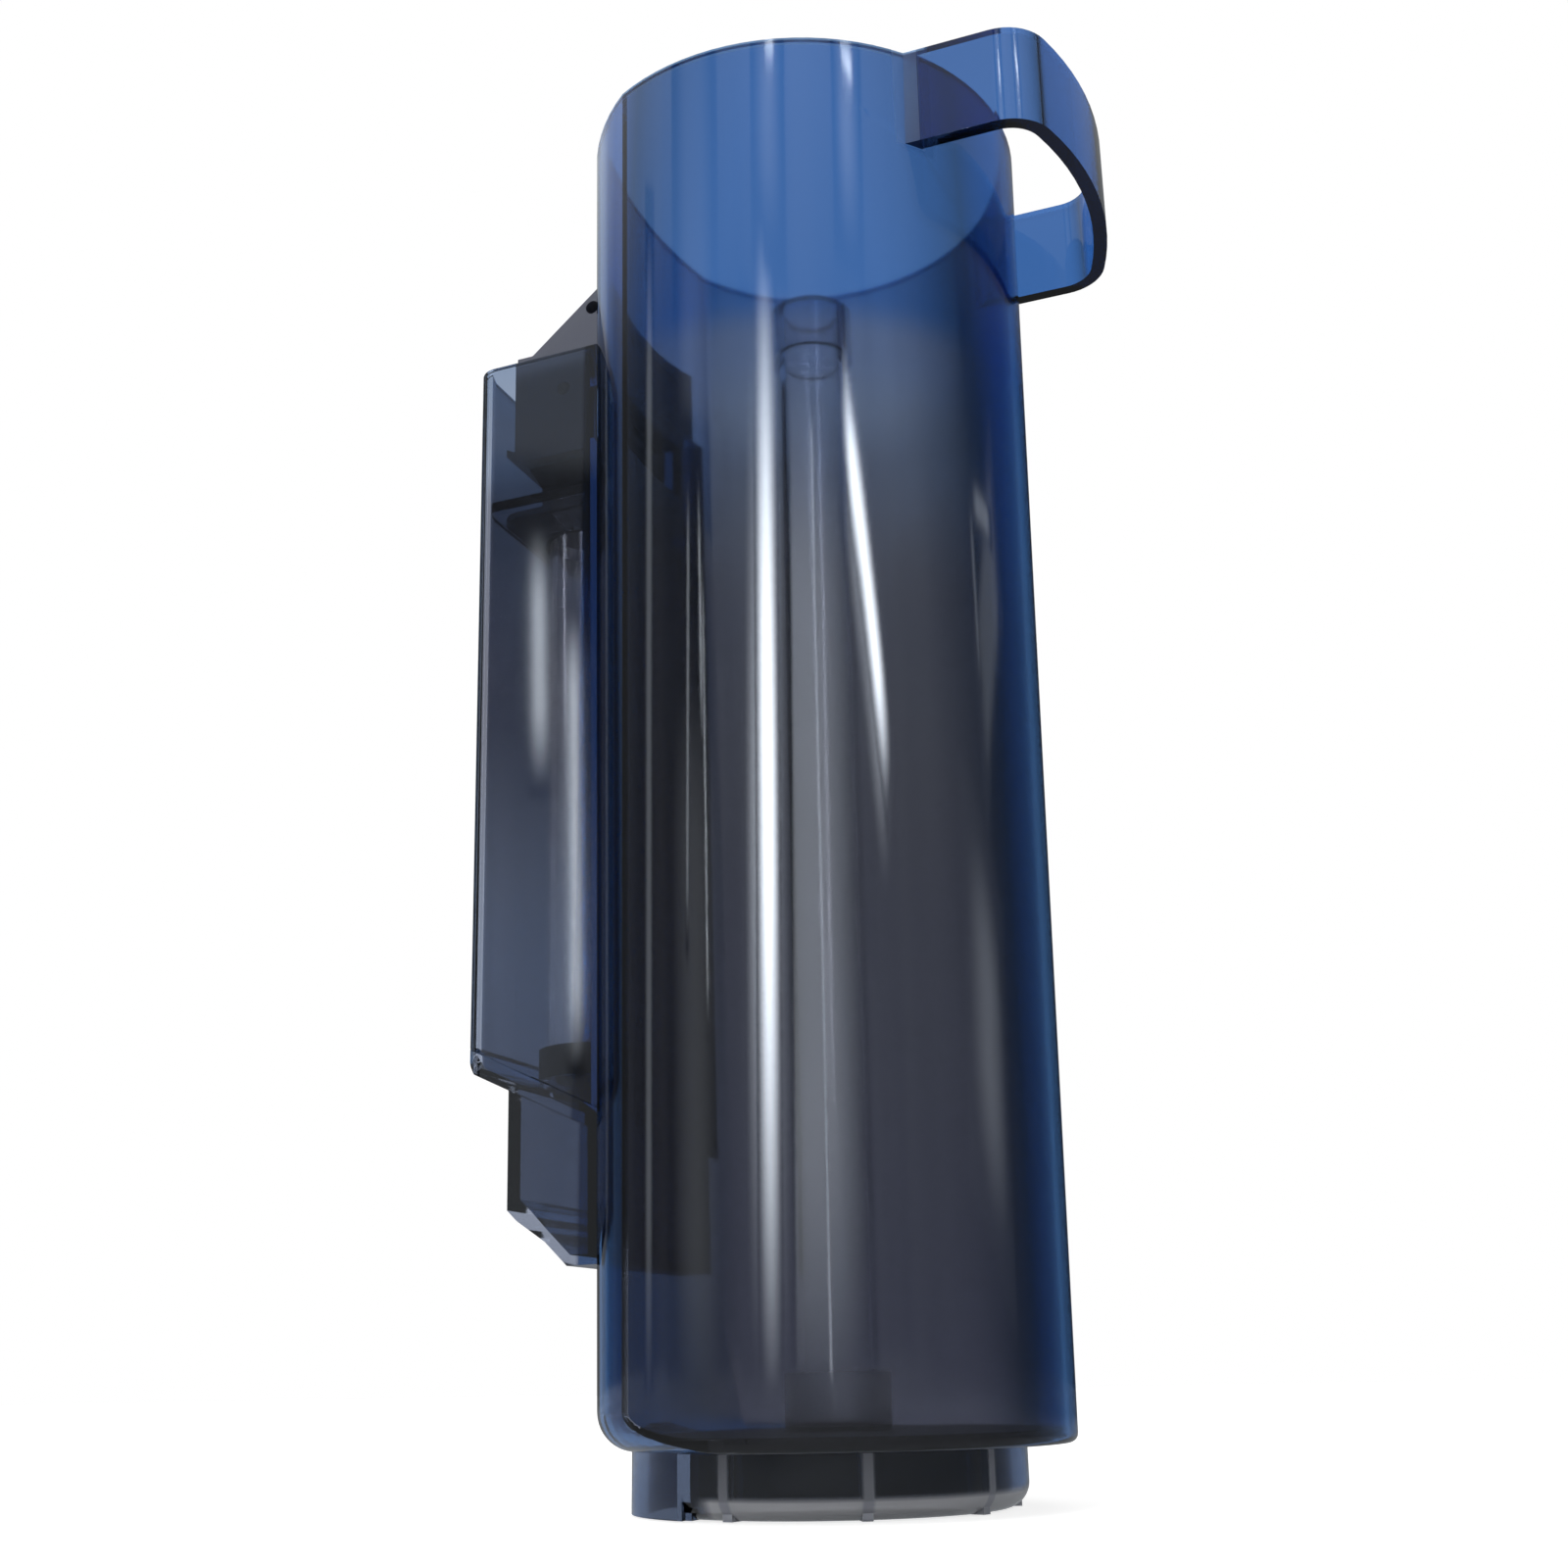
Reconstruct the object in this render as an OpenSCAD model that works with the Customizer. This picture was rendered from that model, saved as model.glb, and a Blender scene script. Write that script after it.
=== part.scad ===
// Clear dirty water tank with a loop handle, a standpipe, a foot and a rear column.
// The axis of the tank is the Z axis, +X points to the handle, and Z = 0 is the ground.

/* [Tank] */
// Height of the tank, from its lower edge to the rim
tank_h = 237; // [200:1:280]
// Outer radius at the rim
tank_r_top = 43; // [41:0.1:46]
// Outer radius at the lower edge
tank_r_bottom = 40.3; // [38:0.1:42]
// Distance from the axis to the flattened back at the rim
back_top = 35; // [33:0.5:37]
// Distance from the axis to the flattened back at the lower edge
back_bottom = 31; // [29:0.5:33]
// Radius of the shallow bow of the back at the rim
bow_r = 100; // [80:5:160]
// Distance in front of the axis of the point about which the back's corners are rounded
corner_cx = 10; // [6:1:14]
// Radius of the back's corners about that point, at the rim
corner_r_top = 48.4; // [47.6:0.2:50]
// Radius of the back's corners about that point, at the lower edge
corner_r_bottom = 45.8; // [45:0.2:47.4]
// Wall of the tank
tank_wall = 2; // [1.6:0.1:2.6]
// Radius of the rounded lower edge at the back
back_edge_r = 6; // [4:0.5:8]
// Radius of the small rounding on the lower edge
lower_edge_r = 1.4; // [0.5:0.1:1.8]

/* [Handle] */
// Distance from the axis to the outside of the loop
handle_reach = 60; // [54:0.5:70]
// Width of the loop over its legs
handle_w = 58; // [50:1:64]
// Height of the strap
handle_h = 19.2; // [14:0.2:30]
// Thickness of the strap
handle_t = 2.6; // [2:0.1:4]
// Outer radius of the loop's corners
handle_corner_r = 9; // [6:0.5:12]
// Radius of the loop's bowed outer side
handle_bow_r = 70; // [60:5:120]

/* [Floor] */
// Thickness of the floor plate
floor_t = 2.2; // [1.8:0.1:3]
// Width of the seal round the floor plate
floor_seal_w = 1.4; // [1:0.1:2]
// Height of the socket that holds the standpipe, above the plate
socket_h = 9; // [6:0.5:14]
// Wall of that socket
socket_wall = 1.8; // [1.4:0.1:2.6]

/* [Standpipe] */
// Distance of the standpipe from the tank's axis
standpipe_x = 2.5; // [0:0.5:4]
// Outer radius of the standpipe
standpipe_r = 6.75; // [6:0.25:9]
// Wall of the standpipe
standpipe_wall = 1.5; // [1.2:0.1:2]
// How far the standpipe's tip lies below the rim
standpipe_drop = 31; // [20:1:50]
// Height of the sleeve on its tip
tip_h = 10; // [6:1:16]
// Wall of that sleeve
tip_wall = 0.9; // [0.7:0.1:1.5]
// Height of the sealing ring under the pipe
pipe_ring_h = 1.5; // [1:0.1:2.5]

/* [Foot] */
// Height of the foot
foot_h = 9.5; // [8:0.5:14]
// Outer radius of the foot
foot_r = 31.5; // [30:0.5:34]
// Distance of the foot's axis in front of the tank's axis
foot_x = 0.8; // [0:0.2:2]
// Wall of the foot
foot_wall = 2.5; // [2:0.1:3]
// Radius of the rounded lower edge at the front
foot_edge_r = 4; // [2:0.5:5]
// Thickness of the lip that holds the gasket
foot_lip_t = 2.4; // [2:0.1:3]
// Width of that lip, inwards from the wall
foot_lip_w = 6; // [4:0.5:8]
// Distance from the axis to the foot's cross wall
foot_cross_x = 13; // [12:0.5:16]
// Number of ribs round the gasket
rib_count = 9; // [7:1:15]
// Thickness of a rib
rib_t = 1.6; // [1.2:0.1:2.4]
// Width of a rib, from the wall to the gasket
rib_w = 2.4; // [1.6:0.1:3.2]

/* [Coupling gasket] */
// Radius of the opening for the inlet spigot
inlet_r = 8; // [7:0.5:10]
// Radius of the raised bead round that opening
bead_r = 12; // [11:0.5:14]
// How far the bead stands below the gasket
bead_h = 1.2; // [0.8:0.1:1.6]

/* [Rear column] */
// Depth of the column, from the tank's back
column_d = 23.6; // [22:0.2:26]
// Width of the column
column_w = 46; // [42:1:52]
// Wall of the column
column_wall = 1.8; // [1.4:0.1:2.4]
// Radius of the column's upright corners
column_corner_r = 4; // [3:0.5:6]
// How far the collar's rim lies below the tank's rim
column_drop = 41; // [30:1:48]
// Height of the collar's rim above the deck plate
collar_h = 28; // [26:1:36]
// Height of the seam at the tank's back, above the tank's lower edge
seam_front = 54; // [50:1:64]
// Slope of the seam, in degrees
seam_slope = 26; // [16:1:30]
// Thickness of the deck plate
deck_t = 2; // [1.6:0.1:2.6]
// Width of the rubber ring between the deck plate and the rear pipe
deck_seal_w = 1; // [0.7:0.1:1.1]

/* [Sump] */
// Height of the tray's band at the seam
band_h = 3.8; // [3.4:0.2:6]
// Bevel along the tray's lower rear edge
tray_bevel = 2.2; // [1:0.1:2.6]
// Depth of the pocket, from the tank's back
pocket_d = 16.1; // [14:0.1:17]
// Width of the pocket
pocket_w = 40; // [34:1:42]
// Height of the pocket's floor above the tank's lower edge
pocket_z = 28.4; // [24:0.2:34]
// Height of the pocket's lower rear corner above its floor
pocket_rise = 9.5; // [7:0.5:12]
// Bevel of that corner
pocket_bevel = 1.8; // [1:0.1:2.4]
// Depth of the pocket's level floor, from the tank's back
keel_d = 5; // [4:0.5:6]
// Height of the step from the level floor to the sloped one
keel_h = 4; // [2:0.5:5]

/* [Rear pipe] */
// Distance of the rear pipe's axis from the tank's back
rear_pipe_d = 11; // [10.6:0.2:11.4]
// Outer radius of the rear pipe
rear_pipe_r = 7.2; // [6.6:0.2:7.4]
// Wall of the rear pipe
rear_pipe_wall = 1.4; // [1.2:0.1:2]
// Height of the black socket under the rear pipe
pipe_socket_h = 5.5; // [5:0.5:9]
// Wall of the black socket, beside the pipe
pipe_socket_wall = 1.4; // [1:0.1:1.8]
// How far the pipe's end sits in that socket
pipe_seat = 2.5; // [2:0.5:4]

/* [Neck] */
// Depth of the rubber neck, from the tank's back
neck_d = 12.4; // [11:0.2:13.4]
// Width of the rubber neck
neck_w = 32; // [28:0.5:34]
// Wall of the rubber neck
neck_wall = 1.2; // [1:0.1:1.6]
// How far the neck flares under the hood
neck_flare = 1.8; // [1:0.1:2]
// Thickness of the flange on the deck plate
neck_flange_t = 1.2; // [1:0.1:1.8]

/* [Hood] */
// Depth of the hood, from the tank's back
hood_d = 16.4; // [15.6:0.2:17]
// Width of the hood
hood_w = 39; // [36:0.5:40]
// Wall of the hood
hood_wall = 1.8; // [1.4:0.1:2.2]
// Height of the hood's lower edge above the deck plate
hood_lift = 7.5; // [6:0.5:9]
// Height of the hood's body
hood_h = 23.5; // [20:0.5:26]
// Depth of the level ledge behind the hood's sloping roof
roof_ledge = 3.2; // [2:0.2:5]
// Rise of the hood's roof from the ledge to the tank
roof_rise = 10.8; // [8:0.2:14]
// How far the flared lip stands out
lip_out = 1.1; // [0.6:0.1:1.4]
// Height of the flared lip
lip_h = 1.6; // [1.2:0.1:2.4]
// How far the lip turns up at its rear end
lip_curl = 1.7; // [0.8:0.1:2.4]
// Depth of the part that turns up
lip_curl_d = 3.4; // [2:0.2:4]
// Radius of the two round holes in each side
hood_hole_r = 1.35; // [1:0.05:1.8]
// Distance of the lower hole from the tank's back
low_hole_d = 6.2; // [4:0.2:9]
// Height of the lower hole above the hood's lower edge
low_hole_h = 14.4; // [8:0.2:18]
// Distance of the upper hole from the tank's back
high_hole_d = 0.4; // [0.4:0.2:2.4]
// Height of the upper hole above the hood's lower edge
high_hole_h = 31; // [28:0.2:31.4]
// Width of the port between the hood and the tank
port_w = 26; // [20:1:30]
// Height of that port
port_h = 11; // [8:0.5:13]
// Width of the rubber frame round the port
port_frame = 2.6; // [2:0.1:3]
// Thickness of the rubber frame round the port
port_seal_t = 1.4; // [1:0.1:2]

/* [Fits] */
// Gap between pieces that are welded or glued
weld_gap = 0.1; // [0.05:0.05:0.2]
// Radial gap between a rubber seal and what it grips
grip_gap = 0.05; // [0.02:0.01:0.1]
// Gap between the hood and the collar's walls
hood_gap = 0.3; // [0.2:0.1:0.5]

/* [Hidden] */
$fn = 96;
// Longer than any piece, for cuts that go right through
far = 400;
// Overlap of a cut past the face that it opens
cut = 1;

clear_blue = "#5b87bf";
dark_grey = "#3d424c";
rubber_black = "#1b1c20";

// Lean of the tank's back, which the whole rear column follows
back_tilt = atan((back_top - back_bottom) / tank_h);
// Centre of the back's bow
bow_x = bow_r - back_top;

function tank_r(z) = tank_r_bottom + (tank_r_top - tank_r_bottom) * z / tank_h;
function back_d(z) = back_bottom + (back_top - back_bottom) * z / tank_h;
function corner_r(z) = corner_r_bottom + (corner_r_top - corner_r_bottom) * z / tank_h;

// Standpipe and its seat
standpipe_bore_r = standpipe_r - standpipe_wall;
ring_z = foot_h + floor_t;
standpipe_z = ring_z + pipe_ring_h;
standpipe_top = foot_h + tank_h - standpipe_drop;

// Foot and gasket
foot_bore_r = foot_r - foot_wall;
gasket_r = foot_bore_r - rib_w - grip_gap;
gasket_z = foot_lip_t;
gasket_h = foot_h - gasket_z;

// Rear column, in the frame that leans with the tank's back
column_in_w = column_w - 2 * column_wall;
column_top = tank_h - column_drop;
deck_z = column_top - collar_h;
pipe_x = -rear_pipe_d;
rear_bore_r = rear_pipe_r - rear_pipe_wall;
tray_floor_z = seam_z(pipe_x) - band_h + column_wall;
boss_r = rear_pipe_r + pipe_socket_wall;
// The boss under the socket clears the sloping tray floor behind it
boss_z = tray_floor_z + boss_r * tan(seam_slope);
rear_pipe_z = boss_z + pipe_socket_h - pipe_seat;
rear_pipe_top = deck_z;
hood_z = deck_z + hood_lift;
hood_top = hood_z + hood_h;
roof_slope = atan(roof_rise / (hood_d - roof_ledge));
port_z = hood_z + hood_wall + port_frame;
deck_hole_r = rear_pipe_r + grip_gap + deck_seal_w;
// Distances from the tank's back to the inside of the column's front wall, to the
// hood's front face and to the hollow inside the hood
wall_face = weld_gap + column_wall;
hood_face = wall_face + port_seal_t + grip_gap;
hood_inner_face = hood_face + hood_wall;
neck_front = -hood_face;

// Height of the seam at a distance x from the tank's back
function seam_z(x) = seam_front - x * tan(seam_slope);

// Rounded D section of the tank between two heights, set in from its outer face
module d_section(inset, z0, z1) {
    intersection() {
        translate([0, 0, z0])
            cylinder(h = z1 - z0, r1 = tank_r(z0) - inset, r2 = tank_r(z1) - inset, $fn = 180);
        translate([bow_x, 0, z0])
            cylinder(h = z1 - z0, r1 = bow_x + back_d(z0) - inset,
                     r2 = bow_x + back_d(z1) - inset, $fn = 180);
        translate([corner_cx, 0, z0])
            cylinder(h = z1 - z0, r1 = corner_r(z0) - inset, r2 = corner_r(z1) - inset, $fn = 180);
    }
}

// Everything inside a round wall about X = cx, with the wall's lower edge rounded
module round_edge_space(cx, r, inset) {
    translate([cx, 0, 0])
        rotate_extrude($fn = 180) {
            translate([0, -cut])
                square([r - back_edge_r, tank_h + 3 * cut]);
            translate([0, back_edge_r])
                square([r + back_edge_r, tank_h + cut]);
            translate([r - back_edge_r, back_edge_r])
                circle(r = back_edge_r - inset);
        }
}

// Everything above, in front of and inside the rounded lower edge of the back
module back_edge_space(inset) {
    intersection() {
        round_edge_space(bow_x, bow_x + back_d(back_edge_r), inset);
        round_edge_space(corner_cx, corner_r(back_edge_r), inset);
    }
}

// Everything inside the small rounding of the lower edge
module lower_edge_space() {
    r = tank_r(lower_edge_r);
    rotate_extrude($fn = 180) {
        square([r - lower_edge_r, tank_h + cut]);
        translate([0, lower_edge_r])
            square([handle_reach, tank_h]);
        translate([r - lower_edge_r, lower_edge_r])
            circle(r = lower_edge_r);
    }
}

// Outline of the handle loop, set in from its outer face
module loop_outline(inset) {
    corner_y = handle_w / 2 - handle_corner_r;
    bow_cx = handle_reach - handle_bow_r;
    corner_x = bow_cx + sqrt(pow(handle_bow_r - handle_corner_r, 2) - corner_y * corner_y);
    translate([0, -handle_w / 2 + inset])
        square([corner_x, handle_w - 2 * inset]);
    for (side = [-1, 1])
        translate([corner_x, side * corner_y])
            circle(r = handle_corner_r - inset);
    intersection() {
        translate([bow_cx, 0])
            circle(r = handle_bow_r - inset, $fn = 180);
        polygon([[bow_cx, 0],
                 [bow_cx + 2 * (corner_x - bow_cx), -2 * corner_y],
                 [bow_cx + 2 * (corner_x - bow_cx), 2 * corner_y]]);
    }
}

module handle_strap() {
    translate([0, 0, tank_h - handle_h])
        linear_extrude(handle_h)
            difference() {
                loop_outline(0);
                loop_outline(handle_t);
            }
}

// Pieces of the rear column are drawn from the tank's back and lean with it
module rear_frame() {
    translate([-back_bottom, 0, foot_h])
        rotate([0, -back_tilt, 0])
            children();
}

// The tank's outline grown by a margin, against which the rear pieces are cut
module back_space(margin) {
    translate([0, 0, foot_h])
        d_section(-margin, -cut, tank_h + cut);
}

// Cuts a rear piece to the bowed back of the tank, a margin away from it
module fit_to_back(margin) {
    difference() {
        rear_frame()
            children();
        back_space(margin);
    }
}

// Opening of the port, through the tank's back, the column's wall, the rubber frame and the hood
module port_space(margin) {
    translate([-column_d / 2, -port_w / 2 - margin, port_z - margin])
        cube([column_d, port_w + 2 * margin, port_h + 2 * margin]);
}

module tank_shell() {
    color(clear_blue, 0.5)
        difference() {
            translate([0, 0, foot_h])
                difference() {
                    union() {
                        intersection() {
                            d_section(0, 0, tank_h);
                            back_edge_space(0);
                            lower_edge_space();
                        }
                        handle_strap();
                    }
                    intersection() {
                        d_section(tank_wall, -cut, tank_h + cut);
                        back_edge_space(tank_wall);
                    }
                }
            rear_frame()
                port_space(0);
        }
}

// Outline of the floor inside the tank's wall and its rounded edge, set in by a margin
module floor_slab(margin, z0, z1) {
    intersection() {
        d_section(tank_wall + margin, z0, z1);
        translate([bow_x, 0, z0])
            cylinder(h = z1 - z0, r = bow_x + back_d(back_edge_r) - back_edge_r - margin, $fn = 180);
        translate([corner_cx, 0, z0])
            cylinder(h = z1 - z0, r = corner_r(back_edge_r) - back_edge_r - margin, $fn = 180);
    }
}

module tank_floor() {
    color(dark_grey)
        translate([0, 0, foot_h])
            difference() {
                union() {
                    floor_slab(weld_gap + floor_seal_w, 0, floor_t);
                    translate([standpipe_x, 0, 0])
                        cylinder(h = floor_t + socket_h, r = standpipe_r + grip_gap + socket_wall);
                }
                translate([standpipe_x, 0, -cut])
                    cylinder(h = floor_t + 2 * cut, r = standpipe_bore_r);
                translate([standpipe_x, 0, floor_t])
                    cylinder(h = socket_h + cut, r = standpipe_r + grip_gap);
            }
}

module floor_seal() {
    color(rubber_black)
        translate([0, 0, foot_h])
            difference() {
                floor_slab(weld_gap, 0, floor_t);
                floor_slab(floor_seal_w, -cut, floor_t + cut);
            }
}

// Plain pipe with its axis upright
module pipe(r, wall, z0, z1) {
    translate([0, 0, z0])
        difference() {
            cylinder(h = z1 - z0, r = r);
            translate([0, 0, -cut])
                cylinder(h = z1 - z0 + 2 * cut, r = r - wall);
        }
}

module standpipe() {
    color(clear_blue, 0.5)
        translate([standpipe_x, 0, 0])
            pipe(standpipe_r, standpipe_wall, standpipe_z, standpipe_top);
}

module standpipe_tip() {
    color(dark_grey)
        translate([standpipe_x, 0, 0])
            pipe(standpipe_r + grip_gap + tip_wall, tip_wall, standpipe_top - tip_h, standpipe_top);
}

module standpipe_seal() {
    color(rubber_black)
        translate([standpipe_x, 0, 0])
            pipe(standpipe_r, standpipe_wall, ring_z, ring_z + pipe_ring_h);
}

// Half section of the foot ring, with its lower outer edge rounded or square
module foot_profile(edge_r, lip_w) {
    difference() {
        union() {
            translate([foot_bore_r, 0])
                square([foot_wall, foot_h]);
            translate([foot_bore_r - lip_w, 0])
                square([lip_w + foot_wall / 2, foot_lip_t]);
        }
        translate([foot_r - edge_r, -cut])
            square([edge_r + cut, edge_r + cut]);
    }
    intersection() {
        translate([foot_r - edge_r, edge_r])
            circle(r = edge_r);
        translate([foot_bore_r - lip_w, 0])
            square([lip_w + foot_wall, edge_r + cut / 2]);
        union() {
            translate([foot_bore_r, 0])
                square([foot_wall, foot_h]);
            translate([foot_bore_r - lip_w, 0])
                square([lip_w + foot_wall, foot_lip_t]);
        }
    }
}

module foot_ring() {
    // Front: rounded lower edge and the lip that holds the gasket
    intersection() {
        rotate_extrude($fn = 144)
            foot_profile(foot_edge_r, foot_lip_w);
        translate([-foot_cross_x, -far / 2, -cut])
            cube([far, far, far]);
    }
    // Rear: square lower edge, open below
    intersection() {
        pipe(foot_r, foot_wall, 0, foot_h);
        translate([-foot_cross_x - far, -far / 2, -cut])
            cube([far, far, far]);
    }
}

// Rear top edge of the foot, which fills in under the rounded lower edge of the tank
module foot_rear_top() {
    edge_x = back_edge_r - back_d(back_edge_r);
    difference() {
        intersection() {
            translate([foot_x, 0, 0])
                pipe(foot_r, foot_wall, foot_h - cut, foot_h + back_edge_r / 2);
            translate([edge_x - far, -far / 2, 0])
                cube([far, far, far]);
            translate([0, 0, foot_h])
                d_section(weld_gap, -2 * cut, back_edge_r);
        }
        translate([edge_x, 0, foot_h + back_edge_r])
            rotate([90, 0, 0])
                cylinder(h = far, r = back_edge_r + weld_gap, center = true);
    }
}

module base_foot() {
    color(clear_blue, 0.5) {
        foot_rear_top();
        translate([foot_x, 0, 0]) {
            foot_ring();
            // Cross wall behind the gasket
            intersection() {
                translate([-foot_cross_x - foot_wall / 2, -far / 2, 0])
                    cube([foot_wall, far, foot_h]);
                cylinder(h = foot_h, r = foot_bore_r + foot_wall / 2);
            }
            // Ribs round the gasket
            intersection() {
                for (i = [0 : rib_count - 1])
                    rotate(180 + 360 * i / rib_count)
                        translate([foot_bore_r - rib_w, -rib_t / 2, 0])
                            cube([rib_w + foot_wall / 2, rib_t, foot_h]);
                translate([-foot_cross_x, -far / 2, -cut])
                    cube([far, far, far]);
            }
        }
    }
}

module coupling_gasket() {
    color(rubber_black)
        difference() {
            union() {
                translate([foot_x, 0, 0])
                    intersection() {
                        translate([0, 0, gasket_z])
                            cylinder(h = gasket_h, r = gasket_r);
                        translate([-foot_cross_x + foot_wall / 2 + grip_gap, -far / 2, 0])
                            cube([far, far, far]);
                    }
                translate([standpipe_x, 0, gasket_z - bead_h])
                    cylinder(h = bead_h + cut, r = bead_r);
            }
            translate([standpipe_x, 0, 0])
                cylinder(h = far, r = inlet_r);
        }
}

// Upright box against the tank's back, with rounded rear corners
module column_box(d, w, corner_r, z0, z1) {
    translate([0, 0, z0])
        linear_extrude(z1 - z0) {
            translate([-d, -w / 2 + corner_r])
                square([d + back_edge_r, w - 2 * corner_r]);
            translate([-d + corner_r, -w / 2])
                square([d - corner_r + back_edge_r, w]);
            for (side = [-1, 1])
                translate([-d + corner_r, side * (w / 2 - corner_r)])
                    circle(r = corner_r);
        }
}

// Everything above the sloping seam, moved up or down by a lift
module above_seam(lift) {
    rotate([90, 0, 0])
        translate([0, 0, -far / 2])
            linear_extrude(far)
                polygon([[-far, seam_z(-far) + lift], [far, seam_z(far) + lift],
                         [far, far * 2], [-far, far * 2]]);
}

module rear_housing() {
    color(clear_blue, 0.5)
        difference() {
            fit_to_back(weld_gap)
                intersection() {
                    column_box(column_d, column_w, column_corner_r, 0, column_top);
                    above_seam(0);
                }
            // Inside of the column, open above and below
            fit_to_back(wall_face)
                column_box(column_d - column_wall, column_in_w, column_corner_r - column_wall,
                           0, column_top + cut);
            rear_frame()
                port_space(0);
        }
}

module deck_plate() {
    color(clear_blue, 0.5)
        difference() {
            fit_to_back(wall_face + weld_gap)
                column_box(column_d - column_wall - weld_gap, column_in_w - 2 * weld_gap,
                           column_corner_r - column_wall, deck_z - deck_t, deck_z);
            rear_frame()
                translate([pipe_x, 0, 0])
                    cylinder(h = far, r = deck_hole_r + grip_gap);
        }
}

module deck_seal() {
    color(rubber_black)
        rear_frame()
            translate([pipe_x, 0, 0])
                pipe(deck_hole_r, deck_seal_w, deck_z - deck_t, deck_z);
}

// Side outline of the tray, set in from the outer face, its top lifted above the seam
module tray_side(inset, lift) {
    d = column_d - inset;
    polygon([[back_edge_r, seam_z(back_edge_r) + lift],
             [-d, seam_z(-d) + lift],
             [-d, seam_z(-d) - band_h + tray_bevel + inset],
             [-d + tray_bevel, seam_z(-d + tray_bevel) - band_h + inset],
             [back_edge_r, seam_z(back_edge_r) - band_h + inset]]);
}

// Side outline of the pocket, from inside the tray down to its stepped floor
module pocket_side(inset) {
    p = pocket_d - inset;
    floor_z = pocket_z + inset;
    polygon([[back_edge_r, seam_z(back_edge_r) - cut],
             [-p, seam_z(-p) - cut],
             [-p, floor_z + pocket_rise],
             [-p + pocket_bevel, floor_z + pocket_rise - pocket_bevel],
             [-keel_d - keel_h, floor_z + keel_h],
             [-keel_d, floor_z],
             [back_edge_r, floor_z]]);
}

// Tray and pocket together, set in from the outer face
module sump_solid(inset, lift) {
    intersection() {
        column_box(column_d - inset, column_w - 2 * inset, column_corner_r - inset, 0, column_top);
        rotate([90, 0, 0])
            linear_extrude(column_w, center = true)
                tray_side(inset, lift);
    }
    rotate([90, 0, 0])
        linear_extrude(pocket_w - 2 * inset, center = true)
            pocket_side(inset);
}

module rear_sump() {
    color(clear_blue, 0.5)
        fit_to_back(weld_gap)
            difference() {
                union() {
                    difference() {
                        sump_solid(0, 0);
                        intersection() {
                            sump_solid(column_wall, cut);
                            translate([-far - column_wall, -far / 2, 0])
                                cube([far, far, far]);
                        }
                    }
                    // Boss under the pipe's socket
                    intersection() {
                        translate([pipe_x, 0, 0])
                            cylinder(h = boss_z, r = boss_r);
                        above_seam(column_wall / 2 - band_h);
                    }
                }
                intersection() {
                    translate([pipe_x, 0, pocket_z])
                        cylinder(h = far, r = rear_bore_r);
                    union() {
                        above_seam(column_wall - band_h);
                        sump_solid(column_wall, cut);
                    }
                }
            }
}

module rear_pipe() {
    color(clear_blue, 0.5)
        rear_frame()
            translate([pipe_x, 0, 0])
                pipe(rear_pipe_r, rear_pipe_wall, rear_pipe_z, rear_pipe_top);
}

module pipe_socket() {
    color(rubber_black)
        rear_frame()
            translate([pipe_x, 0, boss_z])
                difference() {
                    cylinder(h = pipe_socket_h, r = boss_r);
                    translate([0, 0, -cut])
                        cylinder(h = pipe_socket_h + 2 * cut, r = rear_bore_r);
                    translate([0, 0, pipe_socket_h - pipe_seat])
                        cylinder(h = pipe_seat + cut, r = rear_pipe_r + grip_gap);
                }
}

// Tapered duct of the neck, set in from its outer face
module neck_duct(inset, z0, z1) {
    flare_z = deck_z + hood_lift * 0.5;
    intersection() {
        rotate([90, 0, 0])
            linear_extrude(hood_w, center = true)
                polygon([[-neck_d + inset, z0], [-neck_d + inset, flare_z],
                         [-neck_d - neck_flare + inset, hood_z - weld_gap], [-neck_d - neck_flare + inset, z1],
                         [neck_front - inset, z1], [neck_front - inset, z0]]);
        rotate([90, 0, 90])
            linear_extrude(far, center = true)
                polygon([[-neck_w / 2 + inset, z0], [-neck_w / 2 + inset, flare_z],
                         [-neck_w / 2 - neck_flare + inset, hood_z - weld_gap],
                         [-neck_w / 2 - neck_flare + inset, z1],
                         [neck_w / 2 + neck_flare - inset, z1],
                         [neck_w / 2 + neck_flare - inset, hood_z - weld_gap],
                         [neck_w / 2 - inset, flare_z], [neck_w / 2 - inset, z0]]);
    }
}

module neck_seal() {
    color(rubber_black)
        difference() {
            union() {
                fit_to_back(wall_face + weld_gap)
                    column_box(column_d - column_wall - 2 * weld_gap, neck_w, column_corner_r,
                               deck_z, deck_z + neck_flange_t);
                rear_frame()
                    neck_duct(0, deck_z, hood_z - weld_gap);
            }
            rear_frame()
                neck_duct(neck_wall, deck_z - cut, hood_z + cut);
        }
}

// Block with the hood's ledge and sloping roof, set in from its outer face
module hood_block(inset, z0) {
    // The sloping wall has the same thickness as the level one
    ledge_end = -hood_d + roof_ledge + inset * tan(roof_slope / 2);
    rotate([90, 0, 0])
        linear_extrude(hood_w - 2 * inset, center = true)
            polygon([[-hood_d + inset, z0],
                     [-hood_d + inset, hood_top - inset],
                     [ledge_end, hood_top - inset],
                     [back_edge_r, hood_top - inset + (back_edge_r - ledge_end) * tan(roof_slope)],
                     [back_edge_r, z0]]);
}

// Flared lip, which turns up at its rear end
module lip_band() {
    rear = -hood_d - lip_out;
    rotate([90, 0, 0])
        linear_extrude(hood_w + 2 * lip_out, center = true)
            polygon([[rear, hood_z],
                     [rear, hood_z + lip_curl + lip_h],
                     [rear + lip_curl_d, hood_z + lip_h],
                     [back_edge_r, hood_z + lip_h],
                     [back_edge_r, hood_z]]);
}

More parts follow.
